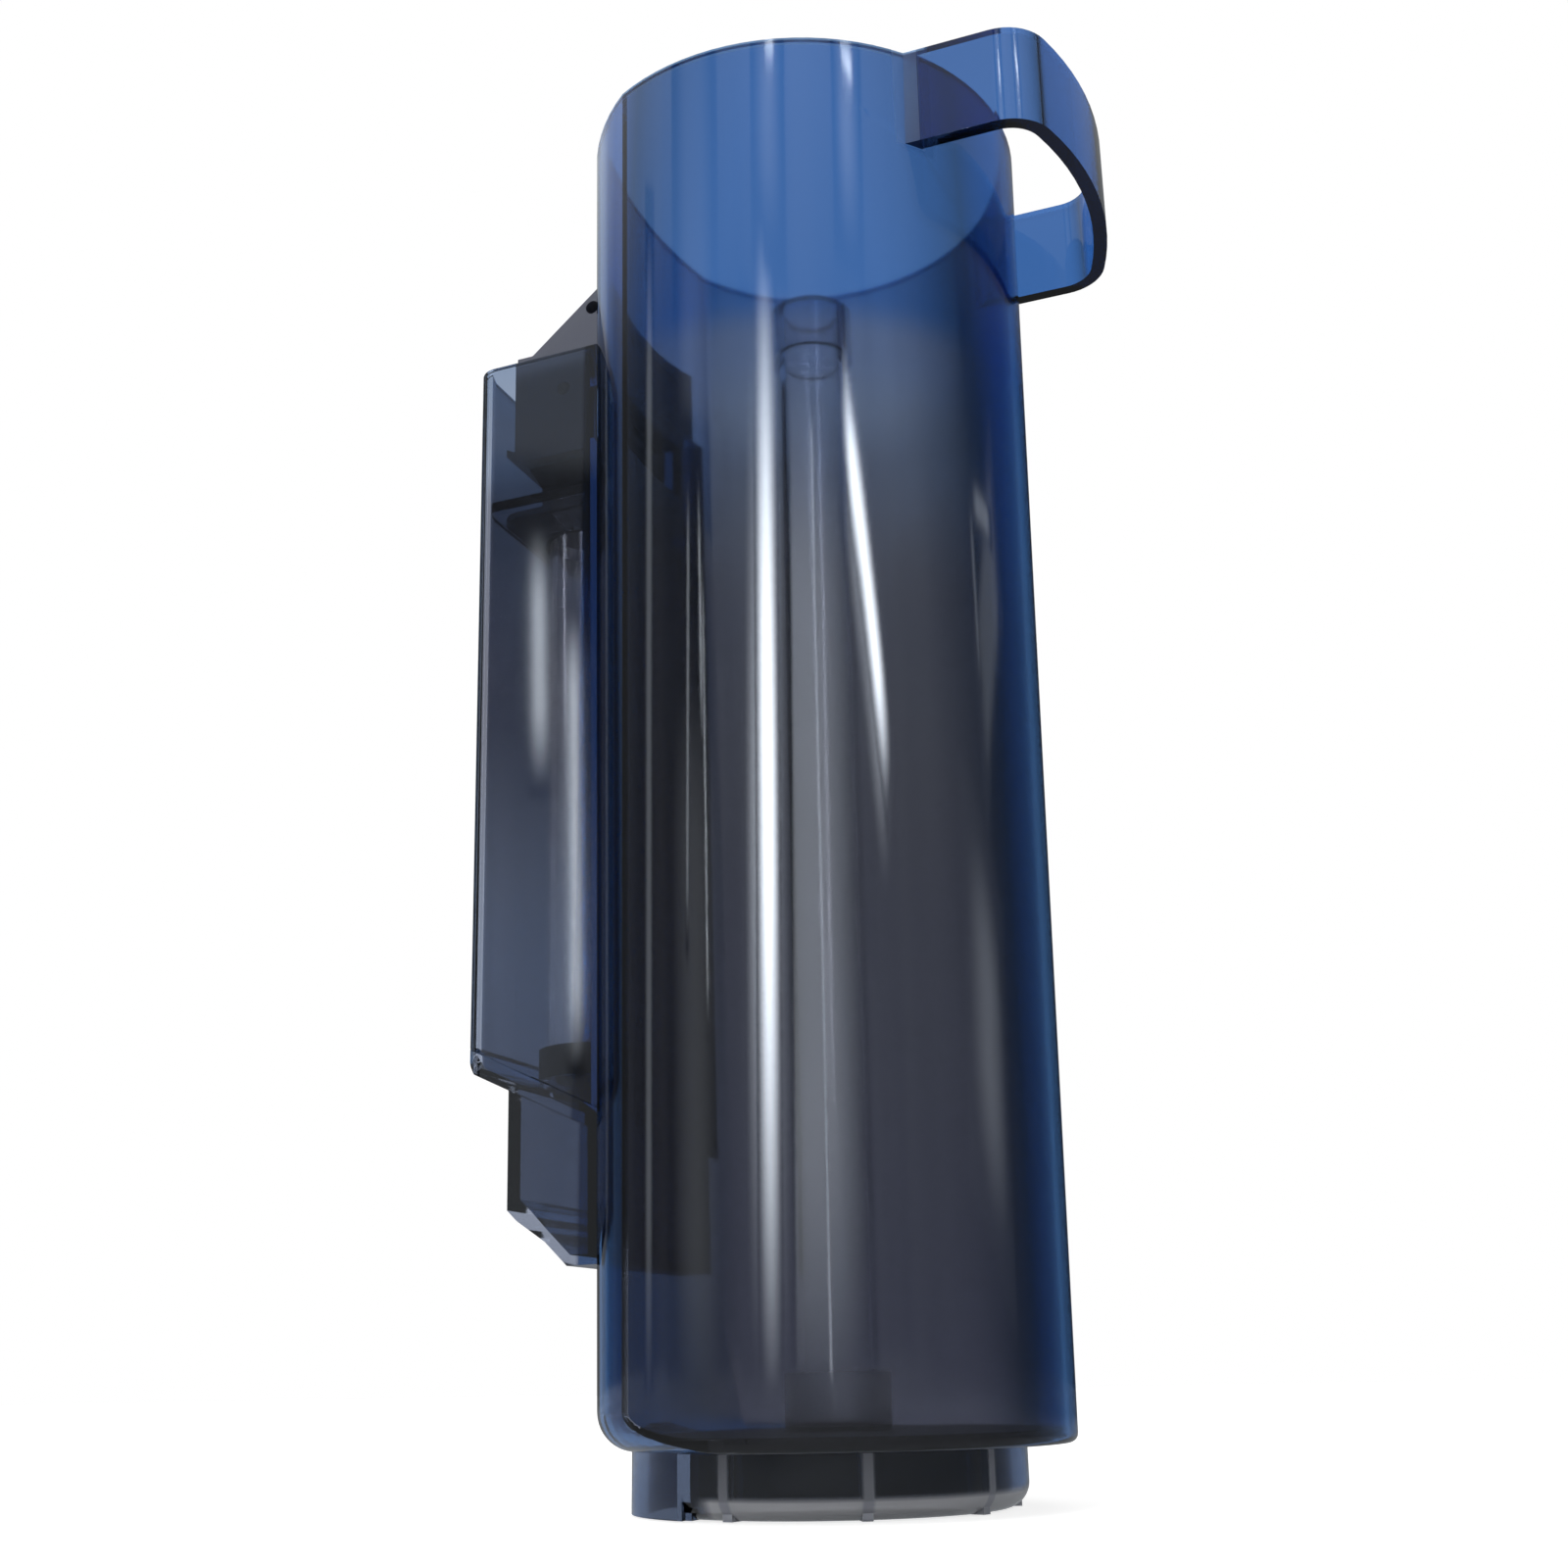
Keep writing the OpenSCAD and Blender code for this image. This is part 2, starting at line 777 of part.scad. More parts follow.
// Wedge under the end of the lip that turns up
module lip_curl_space() {
    rear = -hood_d - lip_out;
    rotate([90, 0, 0])
        linear_extrude(column_w, center = true)
            polygon([[rear - lip_curl_d, hood_z - cut],
                     [rear - lip_curl_d, hood_z + 2 * lip_curl],
                     [rear + lip_curl_d, hood_z],
                     [rear + lip_curl_d, hood_z - cut]]);
}

// Space in front of the hood: the column's wall and the rubber frame below the collar's
// rim, and only the tank above it
module hood_front_space(low_margin, high_margin, rise) {
    back_space(high_margin);
    intersection() {
        back_space(low_margin);
        rear_frame()
            translate([-far / 2, -far / 2, 0])
                cube([far, far, column_top + hood_gap + rise]);
    }
}

module hood() {
    color(dark_grey)
        difference() {
            rear_frame()
                difference() {
                    union() {
                        hood_block(0, hood_z);
                        lip_band();
                    }
                    lip_curl_space();
                }
            hood_front_space(hood_face, weld_gap + grip_gap, 0);
            // Inside, open below to the neck
            difference() {
                rear_frame()
                    hood_block(hood_wall, hood_z - cut);
                hood_front_space(hood_inner_face, weld_gap + grip_gap + hood_wall, hood_wall);
            }
            rear_frame() {
                port_space(0);
                // Round holes in the sides
                for (spot = [[-low_hole_d, hood_z + low_hole_h],
                             [-high_hole_d, hood_z + high_hole_h]])
                    translate([spot[0], 0, spot[1]])
                        rotate([90, 0, 0])
                            cylinder(h = far, r = hood_hole_r, center = true, $fn = 48);
            }
        }
}

module port_seal() {
    color(rubber_black)
        difference() {
            fit_to_back(wall_face)
                translate([-column_d / 2, -port_w / 2 - port_frame, port_z - port_frame])
                    cube([column_d, port_w + 2 * port_frame, port_h + 2 * port_frame]);
            // Its rear face follows the tank's back too
            fit_to_back(hood_face - grip_gap)
                translate([-column_d, -column_w, 0])
                    cube([2 * column_d, 2 * column_w, far]);
            rear_frame()
                port_space(0);
        }
}

tank_shell();
tank_floor();
floor_seal();
standpipe();
standpipe_tip();
standpipe_seal();
base_foot();
coupling_gasket();
rear_housing();
deck_plate();
deck_seal();
rear_sump();
rear_pipe();
pipe_socket();
neck_seal();
hood();
port_seal();
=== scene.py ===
from math import cos, pi, radians, sin

import bpy
from mathutils import Matrix, Vector


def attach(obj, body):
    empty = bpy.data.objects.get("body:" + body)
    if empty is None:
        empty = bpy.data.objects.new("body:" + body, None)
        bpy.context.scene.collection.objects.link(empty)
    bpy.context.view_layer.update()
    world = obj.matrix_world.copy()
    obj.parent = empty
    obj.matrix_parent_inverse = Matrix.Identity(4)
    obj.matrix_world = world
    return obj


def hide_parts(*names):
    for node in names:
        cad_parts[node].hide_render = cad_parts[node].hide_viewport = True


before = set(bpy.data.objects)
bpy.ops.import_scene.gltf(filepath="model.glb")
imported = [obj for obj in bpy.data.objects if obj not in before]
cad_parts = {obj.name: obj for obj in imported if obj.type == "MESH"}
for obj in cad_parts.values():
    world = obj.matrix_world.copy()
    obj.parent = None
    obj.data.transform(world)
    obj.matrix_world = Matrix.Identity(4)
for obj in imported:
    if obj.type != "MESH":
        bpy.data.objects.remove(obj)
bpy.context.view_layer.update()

# ---------------------------------------------------------------- camera
# The photograph looks up from just above the foot, close to the tank.
ROW_TURN = radians(20)
CAMERA_AWAY = 0.315
CAMERA_HEIGHT = 0.0189
CAMERA_PITCH = radians(17.97)
CAMERA_YAW = radians(-0.82)
CAMERA_ROLL = radians(-1.08)
LENS_MM = 42.5


def make_camera():
    right = Vector((cos(ROW_TURN), sin(ROW_TURN), 0))
    away = Vector((-sin(ROW_TURN), cos(ROW_TURN), 0))
    level_x = right * cos(CAMERA_YAW) - away * sin(CAMERA_YAW)
    level_y = right * sin(CAMERA_YAW) + away * cos(CAMERA_YAW)
    forward = level_y * cos(CAMERA_PITCH) + Vector((0, 0, sin(CAMERA_PITCH)))
    lifted = level_x.cross(forward)
    x_axis = level_x * cos(CAMERA_ROLL) + lifted * sin(CAMERA_ROLL)
    y_axis = lifted * cos(CAMERA_ROLL) - level_x * sin(CAMERA_ROLL)
    data = bpy.data.cameras.new("camera")
    data.lens = LENS_MM
    data.sensor_width = 36
    data.clip_start = 0.01
    data.clip_end = 50
    camera = bpy.data.objects.new("camera", data)
    bpy.context.collection.objects.link(camera)
    place = away * -CAMERA_AWAY + Vector((0, 0, CAMERA_HEIGHT))
    camera.matrix_world = Matrix((
        (x_axis.x, y_axis.x, -forward.x, place.x),
        (x_axis.y, y_axis.y, -forward.y, place.y),
        (x_axis.z, y_axis.z, -forward.z, place.z),
        (0, 0, 0, 1)))
    bpy.context.scene.camera = camera


make_camera()
bpy.context.scene.view_settings.view_transform = "Standard"


# ---------------------------------------------------------------- materials
def new_material(name):
    material = bpy.data.materials.new(name)
    material.use_nodes = True
    nodes = material.node_tree.nodes
    return material, nodes, material.node_tree.links, nodes["Principled BSDF"]


def object_noise(nodes, links, scale, detail=3.0, stretch=(1, 1, 1)):
    place = nodes.new("ShaderNodeTexCoord")
    mapping = nodes.new("ShaderNodeMapping")
    mapping.inputs["Scale"].default_value = stretch
    noise = nodes.new("ShaderNodeTexNoise")
    noise.inputs["Scale"].default_value = scale
    noise.inputs["Detail"].default_value = detail
    links.new(place.outputs["Object"], mapping.inputs["Vector"])
    links.new(mapping.outputs["Vector"], noise.inputs["Vector"])
    return noise


def spread(nodes, links, source, low, high, start=0.0, end=1.0):
    """Maps start to end onto low to high."""
    span = nodes.new("ShaderNodeMapRange")
    span.inputs["From Min"].default_value = start
    span.inputs["From Max"].default_value = end
    span.inputs["To Min"].default_value = low
    span.inputs["To Max"].default_value = high
    links.new(source, span.inputs["Value"])
    return span.outputs["Result"]


def colour_steps(nodes, links, source, steps):
    """Smooth colours along a 0 to 1 value; steps are (place, colour)."""
    ramp = nodes.new("ShaderNodeValToRGB")
    ramp.color_ramp.interpolation = "EASE"
    points = ramp.color_ramp.elements
    while len(points) < len(steps):
        points.new(0.5)
    for point, (place, colour) in zip(points, steps):
        point.position = place
        point.color = (*colour, 1)
    links.new(source, ramp.inputs["Fac"])
    return ramp.outputs["Color"]


def blend_colour(nodes, links, factor, first, second):
    mix = nodes.new("ShaderNodeMix")
    mix.data_type = "RGBA"
    links.new(factor, mix.inputs["Factor"])
    for socket, colour in (("A", first), ("B", second)):
        if isinstance(colour, tuple):
            mix.inputs[socket].default_value = (*colour, 1)
        else:
            links.new(colour, mix.inputs[socket])
    return mix.outputs["Result"]


TOP_OF_TINT = 0.25


def clear_plastic(name, tints_and_painted_shade, roughness, ripple, edge=None, underside_shade=None, clearness=1.0,
                  painted_far_side_tints=None, underside_shade_from=0.8):
    """Clear moulding whose tint changes with height; in the tank and the column that change is
    painted light and shade. Painted edge colours show where the wall is seen on edge, painted shade
    darkens faces that point down, and painted light makes the far side paler. It has flow ripples
    and uneven gloss."""
    material, nodes, links, shader = new_material(name)
    place = nodes.new("ShaderNodeTexCoord")
    axes = nodes.new("ShaderNodeSeparateXYZ")
    links.new(place.outputs["Object"], axes.inputs[0])
    height = spread(nodes, links, axes.outputs["Z"], 0, 1, 0, TOP_OF_TINT)
    colour = colour_steps(nodes, links, height,
                          [(z / TOP_OF_TINT, tint) for z, tint in tints_and_painted_shade])
    # Painted light: beyond a line through the tank's middle, the far side takes the paler far-side
    # colours.
    if painted_far_side_tints:
        other = colour_steps(nodes, links, height,
                             [(z / TOP_OF_TINT, tint) for z, tint in painted_far_side_tints])
        across = nodes.new("ShaderNodeVectorMath")
        across.operation = "DOT_PRODUCT"
        across.inputs[1].default_value = (-sin(radians(40)), cos(radians(40)), 0)
        links.new(place.outputs["Object"], across.inputs[0])
        beyond = spread(nodes, links, across.outputs["Value"], 0, 1, -0.008, 0.008)
        on_tube = spread(nodes, links, axes.outputs["X"], 1, 0, 0.0345, 0.0360)
        held = nodes.new("ShaderNodeMath")
        held.operation = "MULTIPLY"
        links.new(beyond, held.inputs[0])
        links.new(on_tube, held.inputs[1])
        colour = blend_colour(nodes, links, held.outputs[0], colour, other)
    # Painted edge light and shade: as the wall turns on edge, its colour goes to the first edge
    # colour, then to the last.
    if edge:
        facing = nodes.new("ShaderNodeLayerWeight")
        facing.inputs["Blend"].default_value = 0.5
        start, darkest, blue, first_edge_paint, last_edge_paint = edge
        first = spread(nodes, links, facing.outputs["Facing"], 0, 1, start, darkest)
        second = spread(nodes, links, facing.outputs["Facing"], 0, 1, darkest, blue)
        colour = blend_colour(nodes, links, first, colour, first_edge_paint)
        colour = blend_colour(nodes, links, second, colour, last_edge_paint)
    # Painted shade: faces that point down take the underside colour.
    if underside_shade:
        normal = nodes.new("ShaderNodeSeparateXYZ")
        links.new(place.outputs["Normal"], normal.inputs[0])
        upright = nodes.new("ShaderNodeMath")
        upright.operation = "MULTIPLY"
        upright.inputs[1].default_value = -1.0
        links.new(normal.outputs["Z"], upright.inputs[0])
        flat = spread(nodes, links, upright.outputs[0], 0, 1, underside_shade_from, underside_shade_from + 0.15)
        colour = blend_colour(nodes, links, flat, colour, underside_shade)
    links.new(colour, shader.inputs["Base Color"])
    shader.inputs["Transmission Weight"].default_value = clearness
    shader.inputs["IOR"].default_value = 1.45
    flow = object_noise(nodes, links, 26, 2, (1, 1, 0.18))
    links.new(spread(nodes, links, flow.outputs["Fac"], roughness * 0.6, roughness * 1.4),
              shader.inputs["Roughness"])
    bump = nodes.new("ShaderNodeBump")
    bump.inputs["Strength"].default_value = ripple
    bump.inputs["Distance"].default_value = 0.0004
    links.new(flow.outputs["Fac"], bump.inputs["Height"])
    links.new(bump.outputs["Normal"], shader.inputs["Normal"])
    return material


def moulded_plastic(name, colour, roughness, grain_depth=0.25, shine=0.5):
    """Opaque moulding with a fine spark-eroded grain."""
    material, nodes, links, shader = new_material(name)
    shader.inputs["Specular IOR Level"].default_value = shine
    grain = object_noise(nodes, links, 2600, 4)
    cloud = object_noise(nodes, links, 60, 3)
    mottled = blend_colour(nodes, links, cloud.outputs["Fac"],
                           tuple(c * 0.88 for c in colour), tuple(c * 1.12 for c in colour))
    links.new(mottled, shader.inputs["Base Color"])
    links.new(spread(nodes, links, cloud.outputs["Fac"], roughness - 0.06, roughness + 0.06),
              shader.inputs["Roughness"])
    bump = nodes.new("ShaderNodeBump")
    bump.inputs["Strength"].default_value = grain_depth
    bump.inputs["Distance"].default_value = 0.00008
    links.new(grain.outputs["Fac"], bump.inputs["Height"])
    links.new(bump.outputs["Normal"], shader.inputs["Normal"])
    return material


# Painted edge shade and light: navy, then bright blue, where a wall is seen on edge.
PAINTED_EDGE_SHADE_AND_LIGHT = (0.22, 0.46, 0.68, (0.022, 0.042, 0.085), (0.012, 0.075, 0.33))
# Painted shade on faces that point down.
PAINTED_UNDERSIDE_SHADE = (0.0006, 0.0025, 0.014)
# The tank's blue with painted shade: grey and darker up to its middle, blue towards the mouth, and
# its far side painted paler.
tank_plastic = clear_plastic(
    "tank_plastic",
    [(0.0, (0.15, 0.16, 0.21)), (0.10, (0.165, 0.175, 0.215)), (0.14, (0.165, 0.18, 0.235)),
     (0.172, (0.165, 0.21, 0.32)), (0.187, (0.145, 0.20, 0.35)),
     (0.196, (0.047, 0.138, 0.38)), (0.25, (0.045, 0.138, 0.39))],
    0.06, 0.12, PAINTED_EDGE_SHADE_AND_LIGHT, PAINTED_UNDERSIDE_SHADE, painted_far_side_tints=[
        (0.0, (0.20, 0.21, 0.26)), (0.10, (0.22, 0.23, 0.27)), (0.16, (0.25, 0.26, 0.28)),
        (0.20, (0.34, 0.36, 0.38)), (0.222, (0.50, 0.55, 0.60)), (0.25, (0.46, 0.54, 0.63))])
# The column's tint with painted light and shade: lighter at the sump and the collar, darker through
# the middle. Its edges get painted edge light and its down-facing faces painted shade.
column_plastic = clear_plastic(
    "column_plastic",
    [(0.0, (0.22, 0.25, 0.33)), (0.055, (0.22, 0.25, 0.33)), (0.085, (0.22, 0.26, 0.35)),
     (0.14, (0.18, 0.19, 0.24)), (0.176, (0.19, 0.21, 0.27)), (0.185, (0.27, 0.32, 0.42)),
     (0.21, (0.22, 0.29, 0.42))],
    0.045, 0.10, (0.35, 0.60, 0.80, (0.03, 0.07, 0.15), (0.02, 0.07, 0.24)), (0.01, 0.02, 0.06),
    underside_shade_from=0.45)
# The foot's blue, with painted edge shade and light where it is seen on edge.
foot_plastic = clear_plastic(
    "foot_plastic", [(0.0, (0.065, 0.09, 0.15)), (0.02, (0.065, 0.09, 0.15))],
    0.06, 0.12, (0.45, 0.65, 0.85, (0.03, 0.06, 0.14), (0.02, 0.08, 0.28)))
# Clear pipe with painted edge light and shade: pale grey, then darker grey, where it is seen on
# edge.
pipe_plastic = clear_plastic(
    "pipe_plastic", [(0.0, (0.93, 0.94, 0.95)), (0.25, (0.93, 0.94, 0.95))],
    0.05, 0.06, (0.35, 0.75, 0.95, (0.70, 0.72, 0.75), (0.34, 0.36, 0.40)), None, 0.98)
deck_plastic = clear_plastic(
    "deck_plastic", [(0.0, (0.70, 0.74, 0.80)), (0.25, (0.70, 0.74, 0.80))], 0.06, 0.1)
hood_plastic = moulded_plastic("hood_plastic", (0.062, 0.066, 0.09), 0.5, 0.12)
floor_plastic = moulded_plastic("floor_plastic", (0.03, 0.033, 0.045), 0.45)
rubber = moulded_plastic("rubber", (0.005, 0.006, 0.010), 0.55, 0.08, 0.15)


def where(nodes, links, spans):
    """1 inside a part of a moulding. Each span is (axis, start, end): it comes in along
    the axis from start to end, and all spans must hold."""
    place = nodes.new("ShaderNodeTexCoord")
    axes = nodes.new("ShaderNodeSeparateXYZ")
    links.new(place.outputs["Object"], axes.inputs[0])
    factor = None
    for axis, start, end in spans:
        held = spread(nodes, links, axes.outputs[axis], 0, 1, start, end)
        if factor is None:
            factor = held
        else:
            both = nodes.new("ShaderNodeMath")
            both.operation = "MULTIPLY"
            links.new(factor, both.inputs[0])
            links.new(held, both.inputs[1])
            factor = both.outputs[0]
    return factor


def tint_where(material, colour, spans, clearness=None, ribs=0):
    """Paints part of a moulding a colour and gives it its own clearness. Here this paints light and
    shade onto the tank, column and foot, and makes the floor's socket clear. With ribs, only narrow
    upright lines at equal angles get it, one of them at the back."""
    nodes, links = material.node_tree.nodes, material.node_tree.links
    shader = nodes["Principled BSDF"]
    factor = where(nodes, links, spans)
    if ribs:
        place = nodes.new("ShaderNodeTexCoord")
        axes = nodes.new("ShaderNodeSeparateXYZ")
        links.new(place.outputs["Object"], axes.inputs[0])
        along = nodes.new("ShaderNodeMath")
        along.operation = "SUBTRACT"
        along.inputs[1].default_value = FOOT_CENTRE_X
        links.new(axes.outputs["X"], along.inputs[0])
        value = None
        for operation, number in (("ARCTAN2", None), ("MULTIPLY", ribs), ("COSINE", None)):
            step = nodes.new("ShaderNodeMath")
            step.operation = operation
            if value is None:
                links.new(axes.outputs["Y"], step.inputs[0])
                links.new(along.outputs[0], step.inputs[1])
            else:
                links.new(value, step.inputs[0])
            if number:
                step.inputs[1].default_value = number
            value = step.outputs[0]
        line = spread(nodes, links, value, 1, 0, -0.985, -0.95)
        both = nodes.new("ShaderNodeMath")
        both.operation = "MULTIPLY"
        links.new(factor, both.inputs[0])
        links.new(line, both.inputs[1])
        factor = both.outputs[0]
    base = shader.inputs["Base Color"].links[0].from_socket
    links.new(blend_colour(nodes, links, factor, base, colour), shader.inputs["Base Color"])
    if clearness is not None:
        weight = shader.inputs["Transmission Weight"]
        if weight.is_linked:
            keep = nodes.new("ShaderNodeMath")
            keep.operation = "MINIMUM"
            links.new(weight.links[0].from_socket, keep.inputs[0])
            links.new(spread(nodes, links, factor, 1, clearness), keep.inputs[1])
            links.new(keep.outputs[0], weight)
        else:
            links.new(spread(nodes, links, factor, weight.default_value, clearness), weight)


def rougher_where(material, roughness, spans):
    nodes, links = material.node_tree.nodes, material.node_tree.links
    socket = nodes["Principled BSDF"].inputs["Roughness"]
    most = nodes.new("ShaderNodeMath")
    most.operation = "MAXIMUM"
    links.new(socket.links[0].from_socket, most.inputs[0])
    links.new(spread(nodes, links, where(nodes, links, spans), 0, roughness), most.inputs[1])
    links.new(most.outputs[0], socket)


FOOT_CENTRE_X = 0.0008
tint_where(floor_plastic, (0.93, 0.94, 0.95), (("Z", 0.0125, 0.0128),), 1.0)
# Painted light: the back of the tank, from the height of the column's collar up, is paler blue.
tint_where(tank_plastic, (0.32, 0.44, 0.62), (("X", -0.0295, -0.0312), ("Z", 0.176, 0.196)))
rougher_where(tank_plastic, 0.4, (("X", 0.0298, 0.0302), ("X", 0.0346, 0.0340),
                                  ("Z", 0.2262, 0.2275)))
# Painted light: the top faces of the handle and of the rim beside it are paler blue and less clear.
tint_where(tank_plastic, (0.25, 0.45, 0.75), (("X", 0.0365, 0.0355), ("Z", 0.2459, 0.2462)), 0.5)
# Painted shade: dark navy strips on the column's side walls where they meet the tank.
for side in (-1, 1):
    tint_where(column_plastic, (0.004, 0.016, 0.07),
               (("X", -0.0350, -0.0343), ("Y", side * 0.0185, side * 0.0195)))
# Painted light: the foot's lip, except at the back, is pale grey and less clear.
tint_where(foot_plastic, (0.62, 0.63, 0.67), (("X", -0.0100, -0.0070), ("Z", 0.0036, 0.0026)), 0.3)
# Painted highlights: pale upright lines on the foot's ribs.
tint_where(foot_plastic, (0.40, 0.42, 0.48), (("X", -0.0100, -0.0070),), 0.55, 9)

FINISH = {
    "tank_shell": tank_plastic, "rear_housing": column_plastic, "rear_sump": column_plastic,
    "deck_plate": deck_plastic, "base_foot": foot_plastic, "standpipe": pipe_plastic,
    "standpipe_tip": pipe_plastic, "rear_pipe": pipe_plastic, "hood": hood_plastic,
    "tank_floor": floor_plastic, "floor_seal": rubber, "standpipe_seal": rubber,
    "coupling_gasket": rubber, "deck_seal": rubber, "pipe_socket": rubber,
    "neck_seal": rubber, "port_seal": rubber}

for node, finish in FINISH.items():
    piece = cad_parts[node]
    piece.data.materials.clear()
    piece.data.materials.append(finish)


# ---------------------------------------------------------------- moulded edges
def only_active(piece):
    bpy.ops.object.select_all(action="DESELECT")
    piece.select_set(True)
    bpy.context.view_layer.objects.active = piece


def with_soft_edges(node, name, width, corner=35):
    """The node's own form with its flats merged and its sharp edges rounded, as moulded."""
    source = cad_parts[node]
    piece = source.copy()
    piece.data = source.data.copy()
    piece.name = name
    bpy.context.collection.objects.link(piece)
    only_active(piece)
    bpy.ops.object.mode_set(mode="EDIT")
    bpy.ops.mesh.customdata_custom_splitnormals_clear()
    bpy.ops.mesh.select_all(action="SELECT")
    bpy.ops.mesh.remove_doubles(threshold=0.000004)
    bpy.ops.mesh.dissolve_limited(angle_limit=radians(0.4))
    bpy.ops.object.mode_set(mode="OBJECT")
    bevel = piece.modifiers.new("rounding", "BEVEL")
    bevel.width = width
    bevel.segments = 2
    bevel.limit_method = "ANGLE"
    bevel.angle_limit = radians(corner)
    bevel.use_clamp_overlap = True
    bpy.ops.object.modifier_apply(modifier=bevel.name)
    bpy.ops.object.shade_smooth_by_angle(angle=radians(32))
    flats = piece.modifiers.new("flats", "WEIGHTED_NORMAL")
    flats.mode = "FACE_AREA"
    flats.weight = 80
    flats.keep_sharp = True
    bpy.ops.object.modifier_apply(modifier=flats.name)
    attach(piece, "root")
    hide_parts(node)
    return piece


def truly_round(piece, walls):
    """Gives the long facets of round drafted walls the direction of the round wall.
    Each wall is (centre x, least radius, largest radius, draft), in metres."""
    mesh = piece.data
    corners = [corner.vector.copy() for corner in mesh.corner_normals]
    for face in mesh.polygons:
        if abs(face.normal.z) > 0.2:
            continue
        best, wall = cos(radians(4)), None
        for centre_x, least, largest, draft in walls:
            out = Vector((face.center.x - centre_x, face.center.y, 0))
            match = abs(out.normalized().dot(face.normal))
            if least < out.length < largest and match > best:
                best, wall = match, (centre_x, draft, out.dot(face.normal))
        if wall is None:
            continue
        centre_x, draft, side = wall
        side = 1 if side > 0 else -1
        for corner in face.loop_indices:
            point = mesh.vertices[mesh.loops[corner].vertex_index].co
            out = Vector((point.x - centre_x, point.y, 0)).normalized()
            out.z = -draft
            corners[corner] = out.normalized() * side
    mesh.normals_split_custom_set(corners)


tank = with_soft_edges("tank_shell", "tank_with_handle", 0.00035)
truly_round(tank, ((0, 0.0379, 0.0433, 0.0114), (0.010, 0.0434, 0.0487, 0.011),
                   (0.0650, 0.0970, 0.1010, 0.0169)))
with_soft_edges("rear_housing", "column_cover", 0.00025)
with_soft_edges("rear_sump", "sump_tray", 0.00025)
with_soft_edges("base_foot", "foot_ring", 0.00025)
with_soft_edges("hood", "hood_cover", 0.00035)
with_soft_edges("tank_floor", "floor_plate", 0.00025)


# ---------------------------------------------------------------- ground and light
def seen_directly(nodes, links):
    """1 for what the camera, a reflection or a look through clear plastic sees."""
    path = nodes.new("ShaderNodeLightPath")
    value = path.outputs["Is Camera Ray"]
    for ray in ("Is Glossy Ray", "Is Transmission Ray"):
        either = nodes.new("ShaderNodeMath")
        either.operation = "MAXIMUM"
        links.new(value, either.inputs[0])
        links.new(path.outputs[ray], either.inputs[1])
        value = either.outputs[0]
    return value


def make_ground():
    """White to the eye, with the shadow kept: a grey matt floor plus its own white."""
    only_active(bpy.context.scene.camera)
    bpy.ops.mesh.primitive_plane_add(size=8, location=(0, 0, -0.0002))
    floor = bpy.context.object
    floor.name = "floor"
    material, nodes, links, shader = new_material("pale_floor")
    shader.inputs["Base Color"].default_value = (0.5, 0.5, 0.5, 1)
    shader.inputs["Roughness"].default_value = 1.0
    shader.inputs["Specular IOR Level"].default_value = 0.0
    shader.inputs["Emission Color"].default_value = (1, 1, 1, 1)
    links.new(spread(nodes, links, seen_directly(nodes, links), 0.0, 0.78),
              shader.inputs["Emission Strength"])
    floor.data.materials.append(material)


def make_world():
    world = bpy.data.worlds.new("studio")
    bpy.context.scene.world = world
    world.use_nodes = True
    nodes, links = world.node_tree.nodes, world.node_tree.links
    sky = nodes["Background"]
    sky.inputs["Color"].default_value = (1, 1, 1, 1)
    links.new(spread(nodes, links, seen_directly(nodes, links), 0.65, 1.0),
              sky.inputs["Strength"])


def on_ring(azimuth, height, distance):
    return Vector((cos(radians(azimuth)) * distance, sin(radians(azimuth)) * distance, height))


ROOM_MIDDLE = 1.2


def show_only(thing, **rays):
    for ray in ("camera", "diffuse", "glossy", "transmission", "shadow", "volume_scatter"):
        setattr(thing, "visible_" + ray, rays.get(ray, False))


